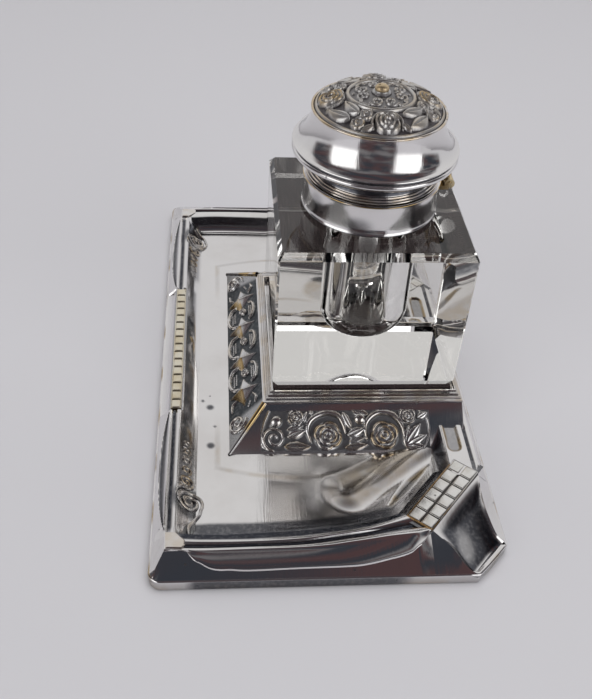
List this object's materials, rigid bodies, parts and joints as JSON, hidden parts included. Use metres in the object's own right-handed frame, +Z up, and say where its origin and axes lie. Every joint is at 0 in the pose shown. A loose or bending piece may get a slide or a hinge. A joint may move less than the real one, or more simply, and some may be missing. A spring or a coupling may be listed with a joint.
{
  "type": "desk inkstand",
  "caption": "Silver-plated desk inkstand: pressed pen tray, raised pedestal, square clear glass inkwell that lifts out, and a domed lid hinged at the back.",
  "frame": {"origin": "on the table, under the middle of the tray's outline", "axes": "+X along the tray's long side, -Y to the front where the pens lie, +Y to the back where the lid is hinged, +Z up"},
  "size_m": [0.195, 0.105, 0.107],
  "materials": {
    "silver_plate": "polished silver plate, dark in the recesses",
    "oxidised_relief": "oxidised silver relief with worn bright crests",
    "worn_gilt": "plate worn to warm base metal",
    "tile_silver": "pale silver tiles, dark joints",
    "brass_fitting": "satin",
    "clear_glass": "polished clear glass",
    "cement": "matt plaster",
    "seat_cloth": "dark cloth",
    "felt": "baize",
    "base_board": "plain board"
  },
  "bodies": {
    "base": {"tray_shell": "silver_plate", "base_board": "base_board", "base_felt": "felt", "board_screws": "brass_fitting", "pedestal_shell": "silver_plate", "seat_frame": "silver_plate", "seat_pad": "seat_cloth", "ladder_bar": "worn_gilt", "left_corner_block": "worn_gilt", "right_corner_block": "worn_gilt", "left_tile_band": "tile_silver", "right_tile_band": "tile_silver", "left_scroll_relief": "oxidised_relief", "right_scroll_relief": "oxidised_relief", "front_flower_panel": "oxidised_relief", "left_rose_panel": "oxidised_relief", "right_rose_panel": "oxidised_relief"},
    "inkwell": {"glass_block": "clear_glass", "cement_ring": "cement", "collar_sleeve": "silver_plate", "collar_rim": "worn_gilt", "collar_knuckles": "brass_fitting", "hinge_pin": "brass_fitting"},
    "lid": {"lid_knuckle": "brass_fitting", "lid_shell": "silver_plate", "lid_dome": "oxidised_relief", "lid_roses": "oxidised_relief", "lid_boss": "worn_gilt", "lid_plug": "silver_plate"}
  },
  "joints": [
    {"name": "inkwell_lift", "type": "slide", "parent": "base", "child": "inkwell", "axis": [0, 0, 1], "range_m": [0, 0.06]},
    {"name": "lid_hinge", "type": "hinge", "parent": "inkwell", "child": "lid", "pos_m": [0, 0.03885, 0.0774], "axis": [-1, 0, 0], "range_deg": [0, 100]}
  ]
}
